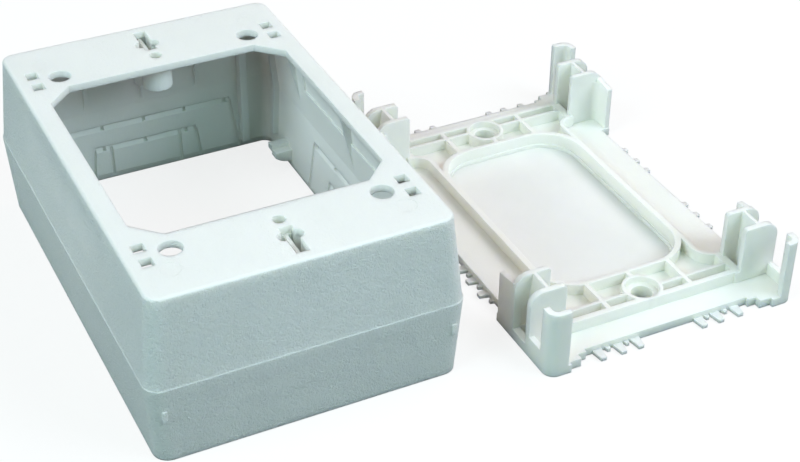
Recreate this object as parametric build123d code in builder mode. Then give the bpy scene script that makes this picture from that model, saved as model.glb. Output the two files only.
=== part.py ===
from build123d import *
import os

os.makedirs("parts", exist_ok=True)

# Surface raceway outlet box, single gang, taken apart as in the photograph:
# the deep housing on the left and the wall plate it snaps over on the right.
# Millimetres, Z up, both pieces lie on the floor at Z = 0.

# How far apart the two pieces lie, middle to middle
apart_x = 92.0
apart_y = 14.4

# Housing shell
house_h = 45.0          # depth of the box
split_z = 21.6          # height of the widest line, where the two drafts meet
foot_w = 76.6           # outside at the wall
foot_l = 118.0
waist_w = 79.2          # outside at the widest line
waist_l = 120.6
face_w = 74.0           # outside at the top face
face_l = 116.8
split_step = 0.2        # small ledge left by the two mould halves
foot_corner = 4.0
face_corner = 3.4
face_round = 0.7
wall = 1.8
face_t = 2.0
ceiling = house_h - face_t

# Openings in the top face
mouth_w = 63.5
mouth_l = 71.8
mouth_cut = 6.5
device_pitch = 83.3     # standard spacing of the two device screws
device_hole = 3.2
cover_pitch = 96.8      # standard spacing of the two cover screws
cross_w = 6.4
cross_t = 3.4
stem_w = 3.3
stem_in = 45.0
stem_out = 55.4
vent_d = 5.8
vent_x = 25.8
square_w = 3.0
square_l = 3.2
square_x = 32.3
square_gap = 2.9        # middle of each square from the line of the round hole
mark_d = 5.0
mark_x = 28.5
mark_y = 49.0
mark_t = 0.06

# Inside the housing
lead_in = 0.8           # chamfer round the open edge
lead_h = 2.0
boss_d = 7.8
boss_low = 36.2
boss_web_low = 34.8
gusset_t = 0.9
gusset_low = 23.0
gusset_out = 4.2
gusset_x = 16.0
side_gusset_out = 2.2
side_gusset_y = 34.3
side_gusset_low = 26.0
end_rib_t = 2.1
end_rib_face = 55.2     # inner face, upright
end_rib_low = 2.8
side_rib_y = 50.6
side_rib_t = 1.2
side_rib_out = 1.7
side_rib_low = 6.4
thin_z = 31.5
thin_half = 29.0
thin_t = 0.5

# Snap noses low on the long walls, a pair of steps in each corner
nose_reach = 0.6        # how far a nose goes under the catch on the wall plate
nose_gap = 0.4          # room left between a nose and the two plates beside it
nose_top = 7.6
nose_step = 1.0
nose_blunt = 1.6

# Knock-outs on the lower inside of every wall
knock_top = 17.2
knock_half_top = 25.0
knock_half_low = 27.2
small_top = 10.7
small_half_top = 14.4
small_half_low = 15.4
inner_half = 9.6
bevel_t = 0.8
bevel_h = 1.7
groove_t = 0.6
groove_w = 0.9
bridge_pitch = 12.0
bridge_w = 0.9
bridge_h = 1.3
bridge_t = 1.1
groove_low = 0.8
scoring_air = 0.3

# Small pips outside, low on each end wall
pip_x = 36.0
pip_z = 14.0
pip_w = 1.2
pip_l = 3.0
pip_t = 0.4

# Wall plate sheet
play_side = 0.3         # room between the pads and the housing's inside, each side
play_end = 0.1
pad_u = foot_w / 2 - wall - play_side    # half width at the corner posts
pad_v = foot_l / 2 - wall - play_end     # half length at the corner posts
pad_corner = 3.0
sheet_u = 33.4
sheet_v = 53.3
sheet_t = 2.4
pad_end_u = 29.7        # the full-size corner pad runs this far in along the end
pad_side_v = 31.4       # and this far in along the side
step_one_u = 26.4       # two lower steps follow it along the end
step_one_v = 56.1
step_two_u = 24.0
step_two_v = 54.3
lap = 0.8               # how deep one piece of the moulding runs into the next

# Raised frame and lattice
deck = 5.6              # top of the frame, the lattice and the tower feet
frame_u = 22.1
frame_v = 34.7
frame_corner = 12.0
frame_lip_u = 20.4      # inside edge of the frame at its top
frame_lip_v = 33.5
lip_corner = 11.0
panel_u = 19.6
panel_v = 33.0
panel_corner = 10.1
panel_z = 1.2
ledge = 0.35
rib_t = 1.2
end_rib_v = 46.8
end_rib_w = 1.7
mid_rib_v = 42.7
mid_rib_w = 1.0
cross_rib_u = 12.2
bay_u = 21.5            # middle of the rib beside the low bay
bay_v = 37.5            # middle of the same rib at the end of the bay
bay_corner = 4.3
bay_start = 24.0
screw_boss_d = 10.6
screw_sink_d = 8.8
screw_sink_z = 3.85
screw_hole = 5.6

# Corner towers
tower_h = 18.4
foot_in = 24.7          # inner side of the foot
tower_in = 26.2
back_v = 37.9           # the plate nearer the middle
back_t = 1.5
front_v = 47.2          # the plate nearer the end
front_t = 1.7
tower_round = 3.8       # outer top corner of both plates
tower_nick = 0.9        # inner top corner
web_u = 30.4
web_t = 0.9             # at the top
catch_t = 2.0           # at the foot of the wedge
catch_z = 9.2
web_foot_t = 1.1
cheek_v = 31.8
cheek_h = 15.2
cheek_rise = 1.0
cheek_fillet = 1.8
cheek_t = 1.5
curb_t = 1.5
sill_u = 34.1
slot_floor = 2.8
recess_top = 9.2
recess_cut = 1.6
recess_t = 0.8
well_in = 27.0
post_h = 18.6
post_t = 1.7
post_u = 30.6           # inner end of the wide posts
post_u_far = 32.1       # and of the two narrow ones
post_v = 52.6
curb_h = 5.8

# Registration fingers round the edge, short stubs between them
finger_t = 0.95
finger_w = 2.6
finger_tip_w = 1.5
finger_short = 0.3      # each tip stops this far inside the corner pads
finger_root = 2.0
stub_w = 1.4
stub_tip_w = 0.8
stub_out = 1.1
finger_end_u = (9.4, 14.4, 20.2)
finger_side_v = (9.6, 15.0, 21.2)
stub_end_u = (11.9, 17.3)
stub_side_v = (12.3, 18.1, 24.6)

# The guide ribs in the housing's corners pass beside the posts of the wall plate
rib_gap = 0.4
end_rib_x = post_u - rib_gap - end_rib_t / 2
nose_in = web_u + catch_t - nose_reach
nose_near = back_v + back_t + nose_gap
nose_far = front_v - front_t - nose_gap
nose_low = slot_floor + nose_gap

# The origin is on the floor, in the middle of the rectangle that holds both pieces
house_x = (waist_w / 2 - pad_u - apart_x) / 2
house_y = (pad_v - waist_l / 2 + apart_y) / 2
plate_x = house_x + apart_x
plate_y = house_y - apart_y

signs = (-1, 1)
house_at = Plane(origin=(house_x, house_y, 0))
plate_at = Plane(origin=(plate_x, plate_y, 0))


def between(z, low, waist, top):
    """Outside size of the housing at height z."""
    if z <= split_z:
        return low + (waist - low) * z / split_z
    return waist + (top - waist) * (z - split_z) / (house_h - split_z)


def inside_x(z):
    return between(z, foot_w, waist_w, face_w) / 2 - wall


def inside_y(z):
    return between(z, foot_l, waist_l, face_l) / 2 - wall


def house_cut_x(y):
    """Upright plane across the housing, seen along Y: local X is X, local Y is Z."""
    return Plane(origin=(house_x, house_y + y, 0), x_dir=(1, 0, 0), z_dir=(0, -1, 0))


def house_cut_y(x):
    """Upright plane along the housing, seen along X: local X is Y, local Y is Z."""
    return Plane(origin=(house_x + x, house_y, 0), x_dir=(0, 1, 0), z_dir=(1, 0, 0))


def plate_cut_v(v):
    """Upright plane across the wall plate: local X is U, local Y is Z."""
    return Plane(origin=(plate_x, plate_y + v, 0), x_dir=(1, 0, 0), z_dir=(0, -1, 0))


def wall_frame(out_dir, along, reach):
    """Plane on the lower inside of one wall: X along the wall, Y up its draft, Z outwards."""
    foot = Vector(house_x, house_y, 0) + out_dir * reach(0)
    head = Vector(house_x, house_y, split_z) + out_dir * reach(split_z)
    up = (head - foot).normalized()
    return Plane(origin=foot, x_dir=along, z_dir=along.cross(up))


end_wall = wall_frame(Vector(0, 1, 0), Vector(-1, 0, 0), inside_y)
side_wall = wall_frame(Vector(1, 0, 0), Vector(0, 1, 0), inside_x)

# The cutters that score a knock-out: two nested outlines, each with a bevelled
# groove along its top, straight grooves down its sides and notches that weaken it
cutters = []
for home in (end_wall, side_wall):
    with BuildPart() as scoring:
        for half, top in ((knock_half_top, knock_top), (small_half_top, small_top)):
            start = home.from_local_coords((-half - groove_w / 2, 0, 0))
            with BuildSketch(Plane(origin=start, x_dir=home.y_dir, z_dir=home.x_dir)):
                with BuildLine():
                    Polyline(
                        (top - bevel_h, -scoring_air),
                        (top - bevel_h, 0),
                        (top, bevel_t),
                        (top, -scoring_air),
                        close=True,
                    )
                make_face()
            extrude(amount=2 * half + groove_w)
        with BuildSketch(home.offset(-scoring_air)):
            for side in signs:
                for half, low, top in (
                    (knock_half_top, knock_half_low, knock_top),
                    (small_half_top, small_half_low, small_top),
                    (inner_half, inner_half, small_top),
                ):
                    with BuildLine():
                        Polyline(
                            (side * half, top - bevel_h / 2),
                            (side * (half + groove_w), top - bevel_h / 2),
                            (side * (low + groove_w), groove_low),
                            (side * low, groove_low),
                            close=True,
                        )
                    make_face()
        extrude(amount=scoring_air + groove_t)
        with BuildSketch(home.offset(-scoring_air)):
            with Locations((0, knock_top - bevel_h / 2)):
                with GridLocations(bridge_pitch, 0, 5, 1):
                    Rectangle(bridge_w, bridge_h)
            with Locations((0, small_top - bevel_h / 2)):
                with GridLocations(bridge_pitch, 0, 3, 1):
                    Rectangle(bridge_w, bridge_h)
        extrude(amount=scoring_air + bridge_t)
        if home is end_wall:
            mirror(about=house_cut_x(0))
        else:
            mirror(about=house_cut_y(0))
    cutters.append(scoring.part)


with BuildPart() as housing:
    # Lower half, narrower towards the wall
    with BuildSketch(house_at):
        RectangleRounded(foot_w, foot_l, foot_corner)
    with BuildSketch(house_at.offset(split_z)):
        RectangleRounded(waist_w, waist_l, foot_corner)
    loft(ruled=True)
    # Upper half, narrower towards the face
    with BuildSketch(house_at.offset(split_z)):
        RectangleRounded(waist_w - 2 * split_step, waist_l - 2 * split_step, foot_corner)
    with BuildSketch(house_at.offset(house_h)):
        RectangleRounded(face_w, face_l, face_corner)
    loft(ruled=True)
    fillet(housing.edges().group_by(Axis.Z)[-1], face_round)

    # Hollow, following both drafts, with a lead-in round the open edge
    with BuildSketch(house_at):
        RectangleRounded(
            2 * (inside_x(0) + lead_in), 2 * (inside_y(0) + lead_in), foot_corner - wall + lead_in
        )
    for z in (lead_h, split_z):
        with BuildSketch(house_at.offset(z)):
            RectangleRounded(2 * inside_x(z), 2 * inside_y(z), foot_corner - wall)
    loft(ruled=True, mode=Mode.SUBTRACT)
    with BuildSketch(house_at.offset(split_z)):
        RectangleRounded(2 * inside_x(split_z), 2 * inside_y(split_z), foot_corner - wall)
    with BuildSketch(house_at.offset(ceiling)):
        RectangleRounded(2 * inside_x(ceiling), 2 * inside_y(ceiling), face_corner - wall)
    loft(ruled=True, mode=Mode.SUBTRACT)

    # Device mouth with cut corners, the screw, cross, round and square holes
    with BuildSketch(house_at.offset(ceiling)) as mouth:
        Rectangle(mouth_w, mouth_l)
        chamfer(mouth.vertices(), mouth_cut)
    extrude(amount=face_t, mode=Mode.SUBTRACT)
    with BuildSketch(house_at.offset(ceiling)):
        with GridLocations(0, cover_pitch, 1, 2):
            SlotOverall(cross_w, cross_t)
        with GridLocations(0, stem_in + stem_out, 1, 2):
            Rectangle(stem_w, stem_out - stem_in)
        with GridLocations(2 * vent_x, device_pitch, 2, 2):
            Circle(vent_d / 2)
        for side in signs:
            with Locations((0, side * square_gap)):
                with GridLocations(2 * square_x, device_pitch, 2, 2):
                    Rectangle(square_w, square_l)
    extrude(amount=face_t, mode=Mode.SUBTRACT)
    with BuildSketch(house_at.offset(house_h - mark_t)):
        with GridLocations(2 * mark_x, 2 * mark_y, 2, 2):
            Circle(mark_d / 2)
    extrude(amount=mark_t, mode=Mode.SUBTRACT)

    # Thinner strip high on the long walls
    for side in signs:
        with BuildSketch(house_cut_x(0)):
            with BuildLine():
                Polyline(
                    (side * (inside_x(thin_z) - 0.3), thin_z),
                    (side * (inside_x(thin_z) + thin_t), thin_z),
                    (side * (inside_x(ceiling) + thin_t), ceiling),
                    (side * (inside_x(ceiling) - 0.3), ceiling),
                    close=True,
                )
            make_face()
        extrude(amount=thin_half, both=True, mode=Mode.SUBTRACT)

    # Device screw bosses under the face, each tied to its end wall by a web
    with BuildSketch(house_at.offset(boss_low)):
        with GridLocations(0, device_pitch, 1, 2):
            Circle(boss_d / 2)
    extrude(amount=ceiling - boss_low)
    for end in signs:
        with BuildSketch(house_cut_y(0)):
            with BuildLine():
                web_end = (end * (inside_y(boss_web_low) + wall / 2), boss_web_low + 5.6)
                web_bend = (end * (device_pitch / 2 + 8.2), boss_web_low + 0.4)
                Polyline(
                    web_end,
                    (end * (inside_y(ceiling) + wall / 2), ceiling),
                    (end * device_pitch / 2, ceiling),
                    (end * device_pitch / 2, boss_web_low),
                    web_bend,
                )
                ThreePointArc(
                    web_bend,
                    (end * (device_pitch / 2 + 12.4), boss_web_low + 2.0),
                    web_end,
                )
            make_face()
        extrude(amount=gusset_t / 2, both=True)
    with BuildSketch(house_at.offset(boss_low)):
        with GridLocations(0, device_pitch, 1, 2):
            Circle(device_hole / 2)
    extrude(amount=house_h - boss_low, mode=Mode.SUBTRACT)

    # Three-cornered gussets from the face down the end walls
    for end in signs:
        for gx in (-gusset_x, 0, gusset_x):
            with BuildSketch(house_cut_y(gx)):
                with BuildLine():
                    Polyline(
                        (end * (inside_y(ceiling) + wall / 2), ceiling),
                        (end * (inside_y(ceiling) - gusset_out), ceiling),
                        (end * inside_y(gusset_low), gusset_low),
                        (end * (inside_y(gusset_low) + wall / 2), gusset_low),
                        close=True,
                    )
                make_face()
            extrude(amount=gusset_t / 2, both=True)

    # Three more down each long wall, the middle one longest
    for side in signs:
        for gy in (-side_gusset_y, 0, side_gusset_y):
            low = side_gusset_low if gy else gusset_low
            with BuildSketch(house_cut_x(gy)):
                with BuildLine():
                    Polyline(
                        (side * (inside_x(ceiling) + wall / 2), ceiling),
                        (side * (inside_x(ceiling) - side_gusset_out), ceiling),
                        (side * inside_x(low), low),
                        (side * (inside_x(low) + wall / 2), low),
                        close=True,
                    )
                make_face()
            extrude(amount=gusset_t / 2, both=True)

    # Upright guide ribs that box in the four corners
    for end in signs:
        for side in signs:
            with BuildSketch(house_cut_y(side * end_rib_x)):
                with BuildLine():
                    Polyline(
                        (end * (inside_y(ceiling) + wall / 2), ceiling),
                        (end * end_rib_face, ceiling),
                        (end * end_rib_face, end_rib_low),
                        (end * (inside_y(end_rib_low) + wall / 2), end_rib_low),
                        (end * (inside_y(split_z) + wall / 2), split_z),
                        close=True,
                    )
                make_face()
            extrude(amount=end_rib_t / 2, both=True)
            with BuildSketch(house_cut_x(end * side_rib_y)):
                with BuildLine():
                    Polyline(
                        (side * (inside_x(ceiling) + wall / 2), ceiling),
                        (side * (inside_x(ceiling) - side_rib_out), ceiling),
                        (side * (inside_x(split_z) - side_rib_out), split_z),
                        (side * (inside_x(side_rib_low) - side_rib_out), side_rib_low),
                        (side * (inside_x(side_rib_low) + wall / 2), side_rib_low),
                        (side * (inside_x(split_z) + wall / 2), split_z),
                        close=True,
                    )
                make_face()
            extrude(amount=side_rib_t / 2, both=True)
            # Snap nose in two steps, blunt below so that it rides over the catch
            halfway = (nose_near + nose_far) / 2
            for start, stop, top in (
                (nose_near, halfway, nose_top - nose_step),
                (halfway, nose_far, nose_top),
            ):
                with BuildSketch(house_cut_x(end * start)):
                    with BuildLine():
                        Polyline(
                            (side * (inside_x(top) + wall / 2), top),
                            (side * nose_in, top),
                            (side * nose_in, top - nose_blunt),
                        )
                        ThreePointArc(
                            (side * nose_in, top - nose_blunt),
                            (side * (nose_in + nose_blunt), nose_low + 0.7),
                            (side * inside_x(nose_low), nose_low),
                        )
                        Polyline(
                            (side * inside_x(nose_low), nose_low),
                            (side * (inside_x(nose_low) + wall / 2), nose_low + 0.6),
                            (side * (inside_x(top) + wall / 2), top),
                        )
                    make_face()
                extrude(amount=-end * (stop - start))

    # Knock-outs scored into the inside of all four walls
    for cutter in cutters:
        add(cutter, mode=Mode.SUBTRACT)

    # Two small upright pips low on each end wall
    for end in signs:
        skin_y = inside_y(pip_z) + wall
        pip_at = Plane(
            origin=(house_x, house_y + end * (skin_y - 0.4), pip_z),
            x_dir=(1, 0, 0),
            z_dir=(0, end, 0),
        )
        with BuildSketch(pip_at):
            with GridLocations(2 * pip_x, 0, 2, 1):
                Rectangle(pip_w, pip_l)
        extrude(amount=0.4 + pip_t)

with BuildPart() as corner:
    # One corner of the wall plate: its pad, which steps down along the end
    with BuildSketch(plate_at):
        with BuildLine():
            Polyline(
                (pad_u, pad_v - pad_corner),
                (pad_u, pad_side_v),
                (sheet_u - lap, pad_side_v),
                (sheet_u - lap, sheet_v - lap),
                (step_two_u, sheet_v - lap),
                (step_two_u, step_two_v),
                (step_one_u, step_two_v),
                (step_one_u, step_one_v),
                (pad_end_u, step_one_v),
                (pad_end_u, pad_v),
                (pad_u - pad_corner, pad_v),
            )
            RadiusArc((pad_u - pad_corner, pad_v), (pad_u, pad_v - pad_corner), pad_corner)
        make_face()
    extrude(amount=sheet_t)

    # Foot of the tower beside the inner well, and the sill below the outer one
    with BuildSketch(plate_at.offset(sheet_t)):
        with Locations(((foot_in + well_in) / 2, (back_v + front_v) / 2)):
            Rectangle(well_in - foot_in, front_v - back_v)
    extrude(amount=deck - sheet_t)
    with BuildSketch(plate_at.offset(sheet_t)):
        with Locations(((sill_u + pad_u) / 2, (back_v + front_v) / 2)):
            Rectangle(pad_u - sill_u, front_v - back_v)
    extrude(amount=slot_floor - sheet_t)

    # The two upright plates, well rounded at the outer top corner
    for near, thick in ((back_v, back_t), (front_v - front_t, front_t)):
        with BuildSketch(plate_cut_v(near)):
            with BuildLine():
                Polyline(
                    (pad_u, tower_h - tower_round),
                    (pad_u, sheet_t),
                    (tower_in, sheet_t),
                    (tower_in, tower_h - tower_nick),
                )
                RadiusArc((tower_in, tower_h - tower_nick), (tower_in + tower_nick, tower_h), tower_nick)
                Line((tower_in + tower_nick, tower_h), (pad_u - tower_round, tower_h))
                RadiusArc((pad_u - tower_round, tower_h), (pad_u, tower_h - tower_round), tower_round)
            make_face()
        extrude(amount=-thick)

    # Web between them, a wedge outside whose lower edge is the catch for the nose
    with BuildSketch(plate_cut_v(back_v + back_t - lap / 4)):
        with BuildLine():
            Polyline(
                (web_u, sheet_t),
                (web_u, tower_h),
                (web_u + web_t, tower_h),
                (web_u + catch_t, catch_z),
                (web_u + web_foot_t, catch_z),
                (web_u + web_foot_t, sheet_t),
                close=True,
            )
        make_face()
    extrude(amount=-(front_v - front_t - back_v - back_t + lap / 2))

    # Shallow recess low in the slot side of the plate nearer the middle
    with BuildSketch(plate_cut_v(back_v + back_t)):
        with BuildLine():
            Polyline(
                (web_u + web_foot_t, slot_floor),
                (web_u + web_foot_t, recess_top - recess_cut / 2),
                (web_u + web_foot_t + recess_cut / 2, recess_top),
                (sill_u - recess_cut, recess_top),
                (sill_u, recess_top - recess_cut / 2),
                (sill_u, slot_floor),
                close=True,
            )
        make_face()
    extrude(amount=recess_t, mode=Mode.SUBTRACT)

    # Cheek along the side towards the middle, its top sloping away from the plate
    cheek_plane = Plane(origin=(plate_x + pad_u, plate_y, 0), x_dir=(0, 1, 0), z_dir=(1, 0, 0))
    with BuildSketch(cheek_plane):
        with BuildLine():
            Polyline(
                (cheek_v, sheet_t),
                (cheek_v, cheek_h),
                (back_v, cheek_h + cheek_rise),
                (back_v + back_t / 2, cheek_h + cheek_rise),
                (back_v + back_t / 2, sheet_t),
                close=True,
            )
        make_face()
    extrude(amount=-cheek_t)
    # Fillet in the inside corner between that plate and the cheek
    with BuildSketch(plate_at.offset(sheet_t)):
        with BuildLine():
            Polyline(
                (pad_u - cheek_t, back_v - cheek_fillet),
                (pad_u - cheek_t / 2, back_v - cheek_fillet),
                (pad_u - cheek_t / 2, back_v + back_t / 2),
                (pad_u - cheek_t - cheek_fillet, back_v + back_t / 2),
                (pad_u - cheek_t - cheek_fillet, back_v),
            )
            ThreePointArc(
                (pad_u - cheek_t - cheek_fillet, back_v),
                (pad_u - cheek_t - 0.293 * cheek_fillet, back_v - 0.293 * cheek_fillet),
                (pad_u - cheek_t, back_v - cheek_fillet),
            )
        make_face()
    extrude(amount=cheek_h - sheet_t)

    # Curb along the side towards the post
    with BuildSketch(plate_at.offset(sheet_t)):
        with Locations((pad_u - curb_t / 2, (front_v + post_v) / 2)):
            Rectangle(curb_t, post_v - front_v + lap)
    extrude(amount=curb_h - sheet_t)

    # Corner post, an L of two thin legs round the corner of the pad
    with BuildSketch(plate_at.offset(sheet_t)):
        with BuildLine():
            Polyline(
                (pad_u, pad_v - pad_corner),
                (pad_u, post_v),
                (pad_u - post_t, post_v),
                (pad_u - post_t, pad_v - pad_corner),
            )
            RadiusArc(
                (pad_u - pad_corner, pad_v - post_t),
                (pad_u - post_t, pad_v - pad_corner),
                pad_corner - post_t,
            )
            Polyline(
                (pad_u - pad_corner, pad_v - post_t),
                (post_u_far, pad_v - post_t),
                (post_u_far, pad_v),
                (pad_u - pad_corner, pad_v),
            )
            RadiusArc((pad_u - pad_corner, pad_v), (pad_u, pad_v - pad_corner), pad_corner)
        make_face()
    extrude(amount=post_h - sheet_t)

    # Registration fingers along both edges, narrower at the tip, and stubs between them
    with BuildSketch(plate_at):
        for places, wide, tip, out in (
            (finger_end_u, finger_w, finger_tip_w, pad_v - finger_short - sheet_v),
            (stub_end_u, stub_w, stub_tip_w, stub_out),
        ):
            for fu in places:
                with BuildLine():
                    Polyline(
                        (fu - wide / 2, sheet_v - finger_root),
                        (fu - wide / 2, sheet_v),
                        (fu - tip / 2, sheet_v + out),
                        (fu + tip / 2, sheet_v + out),
                        (fu + wide / 2, sheet_v),
                        (fu + wide / 2, sheet_v - finger_root),
                        close=True,
                    )
                make_face()
        for places, wide, tip, out in (
            (finger_side_v, finger_w, finger_tip_w, pad_u - finger_short - sheet_u),
            (stub_side_v, stub_w, stub_tip_w, stub_out),
        ):
            for fv in places:
                with BuildLine():
                    Polyline(
                        (sheet_u - finger_root, fv - wide / 2),
                        (sheet_u, fv - wide / 2),
                        (sheet_u + out, fv - tip / 2),
                        (sheet_u + out, fv + tip / 2),
                        (sheet_u, fv + wide / 2),
                        (sheet_u - finger_root, fv + wide / 2),
                        close=True,
                    )
                make_face()
    extrude(amount=finger_t)

    # The same again in the other three corners
    mirror(about=plate_cut_v(0))
    mirror(about=Plane(origin=(plate_x, plate_y, 0), x_dir=(0, 1, 0), z_dir=(1, 0, 0)))

with BuildPart() as backplate:
    # Thin sheet that lies on the wall, with its four corners
    with BuildSketch(plate_at):
        Rectangle(2 * sheet_u, 2 * sheet_v)
    extrude(amount=sheet_t)
    add(corner.part)

    # Two of the four posts reach further along the end
    with BuildSketch(plate_at.offset(sheet_t)):
        for s in signs:
            with Locations((s * (post_u + post_u_far + lap) / 2, s * (pad_v - post_t / 2))):
                Rectangle(post_u_far + lap - post_u, post_t)
    extrude(amount=post_h - sheet_t)

    # Raised frame, solid at first, with the lattice and screw bosses at each end
    with BuildSketch(plate_at.offset(sheet_t)):
        RectangleRounded(2 * frame_u, 2 * frame_v, frame_corner)
        with GridLocations(0, 2 * end_rib_v - end_rib_w, 1, 2):
            Rectangle(2 * foot_in + lap, end_rib_w)
        with GridLocations(0, 2 * mid_rib_v - mid_rib_w, 1, 2):
            Rectangle(2 * foot_in + lap, mid_rib_w)
        with GridLocations(2 * cross_rib_u, frame_v + end_rib_v - end_rib_w / 2, 2, 2):
            Rectangle(rib_t, end_rib_v - end_rib_w / 2 - frame_v + 2 * lap)
        with GridLocations(0, frame_v + device_pitch / 2, 1, 2):
            Rectangle(rib_t, device_pitch / 2 - frame_v + lap)
        with GridLocations(0, device_pitch, 1, 2):
            Circle(screw_boss_d / 2)
        for su in signs:
            for sv in signs:
                # Rib round the low side bay, straight on from the frame and then curved
                inner = bay_corner - rib_t / 2
                outer = bay_corner + rib_t / 2
                with BuildLine():
                    Polyline(
                        (su * (bay_u - rib_t / 2), sv * (bay_v - bay_corner)),
                        (su * (bay_u - rib_t / 2), sv * bay_start),
                        (su * (bay_u + rib_t / 2), sv * bay_start),
                        (su * (bay_u + rib_t / 2), sv * (bay_v - bay_corner)),
                    )
                    ThreePointArc(
                        (su * (bay_u + rib_t / 2), sv * (bay_v - bay_corner)),
                        (
                            su * (bay_u + bay_corner - inner * 0.5 ** 0.5),
                            sv * (bay_v - bay_corner + inner * 0.5 ** 0.5),
                        ),
                        (su * (bay_u + bay_corner), sv * (bay_v - rib_t / 2)),
                    )
                    Polyline(
                        (su * (bay_u + bay_corner), sv * (bay_v - rib_t / 2)),
                        (su * well_in, sv * (bay_v - rib_t / 2)),
                        (su * well_in, sv * (bay_v + rib_t / 2)),
                        (su * (bay_u + bay_corner), sv * (bay_v + rib_t / 2)),
                    )
                    ThreePointArc(
                        (su * (bay_u + bay_corner), sv * (bay_v + rib_t / 2)),
                        (
                            su * (bay_u + bay_corner - outer * 0.5 ** 0.5),
                            sv * (bay_v - bay_corner + outer * 0.5 ** 0.5),
                        ),
                        (su * (bay_u - rib_t / 2), sv * (bay_v - bay_corner)),
                    )
                make_face()
    extrude(amount=deck - sheet_t)

    # Big panel sunk inside the frame, whose inner wall leans back above a small ledge
    with BuildSketch(plate_at.offset(panel_z)):
        RectangleRounded(2 * panel_u, 2 * panel_v, panel_corner)
    extrude(amount=sheet_t - panel_z, mode=Mode.SUBTRACT)
    with BuildSketch(plate_at.offset(sheet_t)):
        RectangleRounded(2 * (panel_u + ledge), 2 * (panel_v + ledge), panel_corner + ledge)
    with BuildSketch(plate_at.offset(deck)):
        RectangleRounded(2 * frame_lip_u, 2 * frame_lip_v, lip_corner)
    loft(ruled=True, mode=Mode.SUBTRACT)

    # Wells right through on both sides of each web
    with BuildSketch(plate_at):
        for low, high in ((well_in, web_u), (web_u + web_foot_t, sill_u)):
            with GridLocations(low + high, back_v + back_t + front_v - front_t, 2, 2):
                Rectangle(high - low, front_v - front_t - back_v - back_t)
    extrude(amount=sheet_t, mode=Mode.SUBTRACT)

    # Counterbored screw holes at the device spacing
    with BuildSketch(plate_at.offset(screw_sink_z)):
        with GridLocations(0, device_pitch, 1, 2):
            Circle(screw_sink_d / 2)
    extrude(amount=deck - screw_sink_z, mode=Mode.SUBTRACT)
    with BuildSketch(plate_at):
        with GridLocations(0, device_pitch, 1, 2):
            Circle(screw_hole / 2)
    extrude(amount=deck, mode=Mode.SUBTRACT)

housing.part.label = "housing"
backplate.part.label = "backplate"
export_step(housing.part, "parts/housing.step")
export_step(backplate.part, "parts/backplate.step")
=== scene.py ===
import math

import bmesh
import bpy
from mathutils import Matrix, Vector


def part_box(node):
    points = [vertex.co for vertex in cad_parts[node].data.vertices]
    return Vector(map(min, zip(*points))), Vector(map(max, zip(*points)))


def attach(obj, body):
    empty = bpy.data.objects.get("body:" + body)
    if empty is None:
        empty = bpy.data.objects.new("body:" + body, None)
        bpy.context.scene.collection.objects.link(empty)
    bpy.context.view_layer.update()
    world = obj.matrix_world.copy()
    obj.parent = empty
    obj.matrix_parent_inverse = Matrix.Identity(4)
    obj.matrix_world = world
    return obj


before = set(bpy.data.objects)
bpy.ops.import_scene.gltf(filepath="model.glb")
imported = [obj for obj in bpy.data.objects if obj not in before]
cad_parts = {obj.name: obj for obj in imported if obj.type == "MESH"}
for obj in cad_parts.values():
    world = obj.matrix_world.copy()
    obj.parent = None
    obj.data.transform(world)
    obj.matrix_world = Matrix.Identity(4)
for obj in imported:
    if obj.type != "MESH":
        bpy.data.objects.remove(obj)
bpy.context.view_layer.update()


# Housing
# The deep box itself, one injection moulding in off-white rigid PVC. It stands with
# its open back on the floor, as it does when it has been lifted off its wall plate,
# and shows the mouth and the screw holes for the device in its top face.

# Blender measures in metres, and MM is one millimetre
MM = 0.001
# A Mix node for colours takes them at inputs 6 and 7 and gives the result at output 2
UNDER, OVER, MIXED = 6, 7, 2


def linear(code):
    """A web colour such as "F0F2F0", by the sRGB curve, as linear red, green, blue, alpha."""
    out = []
    for i in (0, 2, 4):
        c = int(code[i : i + 2], 16) / 255
        out.append(c / 12.92 if c <= 0.04045 else ((c + 0.055) / 1.055) ** 2.4)
    return (*out, 1.0)


def add(tree, kind, settings=None, inputs=None):
    """Adds a node. An input, by name or number, takes a number, a web colour,
    a socket, or a node, which stands for that node's first output."""
    made = tree.nodes.new("ShaderNode" + kind)
    for key, value in (settings or {}).items():
        setattr(made, key, value)
    for key, value in (inputs or {}).items():
        if isinstance(value, bpy.types.Node):
            value = value.outputs[0]
        if isinstance(value, bpy.types.NodeSocket):
            tree.links.new(value, made.inputs[key])
        else:
            made.inputs[key].default_value = linear(value) if isinstance(value, str) else value
    return made


def skin(piece, name):
    """Gives a piece one empty node material and returns its node tree."""
    mat = bpy.data.materials.new(name)
    mat.use_nodes = True
    mat.node_tree.nodes.clear()
    piece.data.materials.clear()
    piece.data.materials.append(mat)
    return mat.node_tree


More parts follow.
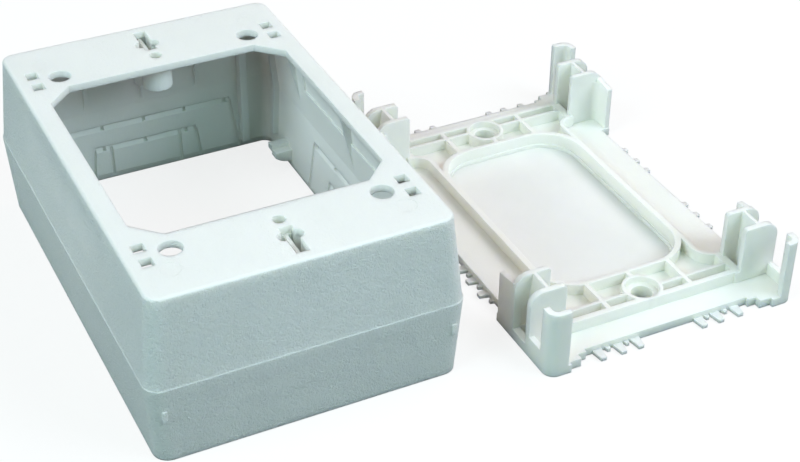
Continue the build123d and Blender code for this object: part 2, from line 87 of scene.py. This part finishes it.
def rubbed_edges_and_painted_shade(tree, clean, rounded, facet, painted_shade_tint, shade_reach, shade_most, rubbed):
    """Paints shade and wear on a moulding: a yellow-green tint in the corners and pockets, as
    painted shade where little light reaches, and paler rubbed edges. Returns its colour, and a
    node that is 1 on a rubbed edge, where the broken corner has turned away from its facet."""
    # Painted shade: the tint deepens as the sky seen from a point closes in, from 70 to 10
    # percent
    open_sky = add(tree, "AmbientOcclusion", {"samples": 4}, {"Distance": shade_reach})
    seen_sky = open_sky.outputs["AO"]
    shade_share = add(
        tree,
        "MapRange",
        inputs={"Value": seen_sky, "From Min": 0.70, "From Max": 0.10, "To Max": shade_most},
    )
    shaded = add(
        tree, "Mix", {"data_type": "RGBA"}, {"Factor": shade_share, UNDER: clean, OVER: painted_shade_tint}
    )
    turned = add(tree, "VectorMath", {"operation": "DOT_PRODUCT"}, {0: rounded, 1: facet})
    # From 8 to 32 degrees of turning, as cosines
    rub = add(
        tree,
        "MapRange",
        inputs={"Value": turned.outputs["Value"], "From Min": 0.99, "From Max": 0.85},
    )
    rub_most = 0.30
    rub_share = add(tree, "Math", {"operation": "MULTIPLY"}, {0: rub, 1: rub_most})
    colour = add(
        tree,
        "Mix",
        {"data_type": "RGBA"},
        {"Factor": rub_share, UNDER: shaded.outputs[MIXED], OVER: rubbed},
    )
    return colour.outputs[MIXED], rub


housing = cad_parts["housing"]
low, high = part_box("housing")
house_mid = (low + high) / 2
house_half = (high - low) / 2

# Rigid PVC from a spark-eroded mould: an even leathery grain on the outer walls, which
# breaks their sheen into small flecks, a finer grain on the face, and nearly smooth
# inside, where the core of the mould was only polished. It is a little translucent.
tree = skin(housing, "grained_rigid_pvc")
surface = add(tree, "NewGeometry")
place = surface.outputs["Position"]
facet = surface.outputs["True Normal"]

# How far out the surface faces: about 1 on the outer walls and below 0 on the inner ones.
# Height doesn't count, so it is divided by a length that is out of all proportion
height_aside = 1000.0
from_middle = add(tree, "VectorMath", {"operation": "SUBTRACT"}, {0: place, 1: house_mid})
scaled = add(
    tree,
    "VectorMath",
    {"operation": "DIVIDE"},
    {0: from_middle, 1: (house_half.x, house_half.y, height_aside)},
)
outward = add(tree, "VectorMath", {"operation": "DOT_PRODUCT"}, {0: facet, 1: scaled})
on_wall = add(
    tree,
    "MapRange",
    inputs={"Value": outward.outputs["Value"], "From Min": 0.80, "From Max": 0.90},
)
# The face is what looks up at nearly the full height of the housing
level = add(tree, "SeparateXYZ", inputs={0: place}).outputs["Z"]
upward = add(tree, "SeparateXYZ", inputs={0: facet}).outputs["Z"]
raised = add(tree, "Math", {"operation": "MULTIPLY"}, {0: upward, 1: level})
on_face = add(
    tree,
    "MapRange",
    inputs={"Value": raised, "From Min": 0.90 * high.z, "From Max": 0.99 * high.z},
)

# The real grain is about 0.5 mm across. It is drawn at 0.8 mm, so that it shows here
grain_size = 0.8 * MM
grain = add(
    tree,
    "TexNoise",
    inputs={
        "Vector": place,
        "Scale": 1 / grain_size,
        "Detail": 3.0,
        "Roughness": 0.55,
        "Distortion": 1.2,
    },
)
# The face has a grain of 0.3 mm, which shows only as a slight unevenness
fine_size = 0.3 * MM
fine = add(tree, "TexNoise", inputs={"Vector": place, "Scale": 1 / fine_size, "Detail": 2.0})
# The inside has a trace of the grain, the face a little more and the walls nearly all
inside_grain, face_more, wall_more = 0.08, 0.12, 0.85
wall_share = add(
    tree, "Math", {"operation": "MULTIPLY_ADD"}, {0: on_wall, 1: wall_more, 2: inside_grain}
)
grain_share = add(
    tree, "Math", {"operation": "MULTIPLY_ADD"}, {0: on_face, 1: face_more, 2: wall_share}
)
fine_part = 0.25
both_grains = add(
    tree, "Math", {"operation": "MULTIPLY_ADD"}, {0: fine, 1: fine_part, 2: grain}
)
relief = add(tree, "Math", {"operation": "MULTIPLY"}, {0: both_grains, 1: grain_share})
# A moulding has no knife edge: every corner is broken by about a quarter of a millimetre
broken_edge = 0.28 * MM
rounded = add(tree, "Bevel", {"samples": 4}, {"Radius": broken_edge})
grain_depth = 0.70 * MM
bump = add(
    tree,
    "Bump",
    inputs={"Strength": 1.0, "Distance": grain_depth, "Height": relief, "Normal": rounded},
)

# Cloudy drift of the pigment along the flow of the melt, over about 30 mm
drift_size = 32 * MM
drift = add(tree, "TexNoise", inputs={"Vector": place, "Scale": 1 / drift_size, "Detail": 3.0})
drift_share = add(tree, "MapRange", inputs={"Value": drift, "From Min": 0.3, "From Max": 0.7})
pigment = add(
    tree,
    "Mix",
    {"data_type": "RGBA"},
    {"Factor": drift_share, UNDER: "EDECE9", OVER: "F3F1EE"},
)
# On the walls, the pits of the grain are made darker and a little cooler
pit_darkening_most = 0.12
pits = add(tree, "MapRange", inputs={"Value": grain, "From Min": 0.50, "From Max": 0.32})
wall_pits = add(tree, "Math", {"operation": "MULTIPLY"}, {0: pits, 1: on_wall})
pit_share = add(tree, "Math", {"operation": "MULTIPLY"}, {0: wall_pits, 1: pit_darkening_most})
pits_darkened = add(
    tree,
    "Mix",
    {"data_type": "RGBA"},
    {"Factor": pit_share, UNDER: pigment.outputs[MIXED], OVER: "B0BAB9"},
)
# Painted shade, tinted D6DAC6, in the housing's corners and pockets, and paler rubbed edges
colour, rub = rubbed_edges_and_painted_shade(
    tree,
    pits_darkened.outputs[MIXED],
    rounded,
    facet,
    painted_shade_tint="D6DAC6",
    shade_reach=14 * MM,
    shade_most=0.30,
    rubbed="FAFBFA",
)
# The grained walls are the most matt, and rubbing polishes an edge
matt_inside, matt_wall, matt_fine, polish = 0.44, 0.10, 0.08, -0.12
matt = add(
    tree, "Math", {"operation": "MULTIPLY_ADD"}, {0: on_wall, 1: matt_wall, 2: matt_inside}
)
matt = add(tree, "Math", {"operation": "MULTIPLY_ADD"}, {0: fine, 1: matt_fine, 2: matt})
matt = add(tree, "Math", {"operation": "MULTIPLY_ADD"}, {0: rub, 1: polish, 2: matt})
pvc = add(
    tree,
    "BsdfPrincipled",
    inputs={
        "Base Color": colour,
        "Roughness": matt,
        "IOR": 1.53,
        "Normal": bump,
        "Subsurface Weight": 0.85,
        "Subsurface Radius": (1.0, 1.0, 0.9),
        "Subsurface Scale": 3.0 * MM,
    },
)
add(tree, "OutputMaterial", inputs={"Surface": pvc})


# Wells of the cover slots
# Each crossed slot in the face runs on into a deep sleeve that is moulded under it, so
# the photograph shows only walls in it. The sleeve is one with the housing, in its PVC.
# A slot is a stem along the housing, with a round arm on each side of its middle
cover_pitch = 96.8 * MM
stem_half = 1.65 * MM
stem_near, stem_far = 45.0 * MM, 55.4 * MM
arm_reach = 1.5 * MM
arm_round = 1.7 * MM
arm_steps = 12
sleeve_wall = 1.1 * MM
# The inner wall stands a hair behind the slot's own wall. The top is 0.1 mm up inside
# the face, which is 2 mm thick, and the sleeve hangs 9 mm below it
behind = 0.02 * MM
well_top = high.z - 1.9 * MM
well_low = high.z - 11.0 * MM


def slot_outline(grow):
    """The crossed slot's outline, grown by a distance, from its near end to its far one."""
    half, radius = stem_half + grow, arm_round + grow
    swing = math.acos((half - arm_reach) / radius)
    turns = [swing * (2 * step / arm_steps - 1) for step in range(arm_steps + 1)]
    arm = [
        (arm_reach + radius * math.cos(turn), cover_pitch / 2 + radius * math.sin(turn))
        for turn in turns
    ]
    right_side = [(half, stem_near - grow), *arm, (half, stem_far + grow)]
    return right_side + [(-x, y) for x, y in reversed(right_side)]


mesh = bpy.data.meshes.new("cover_slot_wells")
shell = bmesh.new()
for side in (1, -1):
    rings = [
        [
            shell.verts.new((house_mid.x + x, house_mid.y + side * y, z))
            for x, y in slot_outline(grow)
        ]
        for grow, z in (
            (behind, well_top),
            (sleeve_wall, well_top),
            (sleeve_wall, well_low),
            (behind, well_low),
        )
    ]
    for ring, following in zip(rings, rings[1:] + rings[:1]):
        for i in range(len(ring)):
            j = (i + 1) % len(ring)
            shell.faces.new((ring[i], ring[j], following[j], following[i]))
bmesh.ops.recalc_face_normals(shell, faces=shell.faces)
shell.to_mesh(mesh)
shell.free()
mesh.materials.append(housing.data.materials[0])
wells = bpy.data.objects.new("cover_slot_wells", mesh)
bpy.context.scene.collection.objects.link(wells)
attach(wells, "root")


# Wall plate
# The plate that is screwed to the wall first, one moulding in the same rigid PVC.
# It lies on its back beside the housing, with its four corner towers upwards, and
# the housing's snaps catch in those towers.
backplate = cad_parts["backplate"]

# Rigid PVC from a polished mould: no grain, a soft satin sheen that runs along the ribs,
# and thin towers that glow a little, because light goes through them.
tree = skin(backplate, "satin_rigid_pvc")
surface = add(tree, "NewGeometry")
place = surface.outputs["Position"]
facet = surface.outputs["True Normal"]
# Faint ripple left by the milled and stoned mould, 0.6 mm apart
ripple_size, ripple_depth = 0.6 * MM, 0.03 * MM
ripple = add(tree, "TexNoise", inputs={"Vector": place, "Scale": 1 / ripple_size, "Detail": 2.0})
plate_edge = 0.25 * MM
rounded = add(tree, "Bevel", {"samples": 4}, {"Radius": plate_edge})
bump = add(
    tree,
    "Bump",
    inputs={"Strength": 1.0, "Distance": ripple_depth, "Height": ripple, "Normal": rounded},
)
# Flow marks of the melt, drawn out over about 20 mm
flow_size = 20 * MM
flow = add(
    tree,
    "TexNoise",
    inputs={"Vector": place, "Scale": 1 / flow_size, "Detail": 3.0, "Distortion": 0.6},
)
flow_share = add(tree, "MapRange", inputs={"Value": flow, "From Min": 0.3, "From Max": 0.7})
pigment = add(
    tree,
    "Mix",
    {"data_type": "RGBA"},
    {"Factor": flow_share, UNDER: "EEEDE8", OVER: "F3F1EC"},
)
# The lattice and towers are finer than the housing, so the painted corner shade reaches less far
colour, _ = rubbed_edges_and_painted_shade(
    tree,
    pigment.outputs[MIXED],
    rounded,
    facet,
    painted_shade_tint="DCE3CC",
    shade_reach=9 * MM,
    shade_most=0.25,
    rubbed="FAFCFA",
)
satin_base, satin_ripple = 0.32, 0.12
satin = add(
    tree, "Math", {"operation": "MULTIPLY_ADD"}, {0: ripple, 1: satin_ripple, 2: satin_base}
)
pvc = add(
    tree,
    "BsdfPrincipled",
    inputs={
        "Base Color": colour,
        "Roughness": satin,
        "IOR": 1.53,
        "Normal": bump,
        "Subsurface Weight": 0.85,
        "Subsurface Radius": (1.0, 1.0, 0.85),
        "Subsurface Scale": 2.2 * MM,
    },
)
add(tree, "OutputMaterial", inputs={"Surface": pvc})


# Floor
# A pale sweep of card, 6 m wide, that both pieces lie on, a hair under them. The camera
# sees part of its white as its own light, so it stays paper white and still takes the
# soft shadows.
reach = 3.0
hair = 0.2 * MM
mesh = bpy.data.meshes.new("floor")
mesh.from_pydata(
    [(-reach, -reach, 0), (reach, -reach, 0), (reach, reach, 0), (-reach, reach, 0)],
    [],
    [(0, 1, 2, 3)],
)
floor = bpy.data.objects.new("floor", mesh)
floor.location.z = -hair
bpy.context.scene.collection.objects.link(floor)

# Matt card: white to the camera, and a duller grey for the light that it throws back
own_light = 0.80
tree = skin(floor, "matt_card")
seen = add(tree, "LightPath").outputs["Is Camera Ray"]
dull = add(tree, "BsdfDiffuse", inputs={"Color": "646A6A"})
white = add(tree, "BsdfDiffuse", inputs={"Color": "FFFFFF"})
glow = add(tree, "Emission", inputs={"Color": "FFFFFF", "Strength": 1.0})
paper = add(tree, "MixShader", inputs={0: own_light, 1: white, 2: glow})
card = add(tree, "MixShader", inputs={0: seen, 1: dull, 2: paper})
add(tree, "OutputMaterial", inputs={"Surface": card})


# Studio
# Six soft round lamps round the pieces, at 38 to 68 degrees. The low left one and the
# right front one carry the most, and they and the front one are a shade cooler. The
# faces that look up come out bright, the left walls pale grey, the near wall mid grey.
lamp_away, lamp_wide = 1.2, 0.8


def towards(azimuth, elevation):
    """The direction from the object, in degrees. Azimuth 0 is the front, 90 the right."""
    turn, lift = math.radians(azimuth), math.radians(elevation)
    level_part = math.cos(lift)
    return Vector((math.sin(turn) * level_part, -math.cos(turn) * level_part, math.sin(lift)))


def soft_box(name, azimuth, elevation, power, tint):
    """A round soft lamp that looks at the object. Its power is in watts."""
    away = towards(azimuth, elevation)
    lamp = bpy.data.lights.new(name, "AREA")
    lamp.shape = "DISK"
    lamp.size = lamp_wide
    lamp.energy = power
    lamp.color = linear(tint)[:3]
    holder = bpy.data.objects.new(name, lamp)
    holder.location = lamp_away * away
    holder.rotation_mode = "QUATERNION"
    holder.rotation_quaternion = (-away).to_track_quat("-Z", "Y")
    bpy.context.scene.collection.objects.link(holder)


soft_box("left_high", 270, 68, 3.0, "FFDCD6")
soft_box("left_low", 280, 38, 9.2, "D6FAFF")
soft_box("front_right", 45, 38, 9.6, "E8F4FF")
soft_box("right", 90, 48, 2.9, "FFF2EE")
soft_box("back_right", 135, 42, 2.4, "FFEAE6")
soft_box("front", 0, 42, 2.4, "B0FFF2")

# The world is a faint cool light on the pieces, and white where the camera sees it
world = bpy.data.worlds.new("studio")
bpy.context.scene.world = world
world.use_nodes = True
tree = world.node_tree
tree.nodes.clear()
seen = add(tree, "LightPath").outputs["Is Camera Ray"]
sky = add(tree, "Background", inputs={"Color": "DDF0EE", "Strength": 0.03})
white = add(tree, "Background", inputs={"Color": "FFFFFF", "Strength": 1.0})
both = add(tree, "MixShader", inputs={0: seen, 1: sky, 2: white})
add(tree, "OutputWorld", inputs={"Surface": both})


# Camera
# The photograph's own view point, worked out from the edges of the housing and the
# distance between its screw holes. It is 399 mm from the point that lies in the middle
# of the picture, and rolled by half a degree.
roll = math.radians(0.579)
camera_away = 398.872 * MM
back = towards(-26.503, 35.253)
aim = Vector((house_mid.x + 32.071 * MM, house_mid.y - 38.593 * MM, 30.0 * MM))
eye = aim + camera_away * back
right = (-back).cross(Vector((0, 0, 1))).normalized()
up = right.cross(-back)
tilted_right = math.cos(roll) * right + math.sin(roll) * up
tilted_up = math.cos(roll) * up - math.sin(roll) * right
camera = bpy.data.objects.new("camera", bpy.data.cameras.new("camera"))
bpy.context.scene.collection.objects.link(camera)
camera.matrix_world = Matrix(
    [(tilted_right[i], tilted_up[i], back[i], eye[i]) for i in range(3)] + [(0, 0, 0, 1)]
)
# The focal length that fits is 1668.9 pixels in a picture 800 pixels wide
sensor_wide, focal_pixels, picture_pixels = 36.0, 1668.9, 800
camera.data.sensor_width = sensor_wide
camera.data.lens = sensor_wide * focal_pixels / picture_pixels
camera.data.clip_start = 0.01
camera.data.clip_end = 20.0
bpy.context.scene.camera = camera
bpy.context.scene.view_settings.view_transform = "Standard"
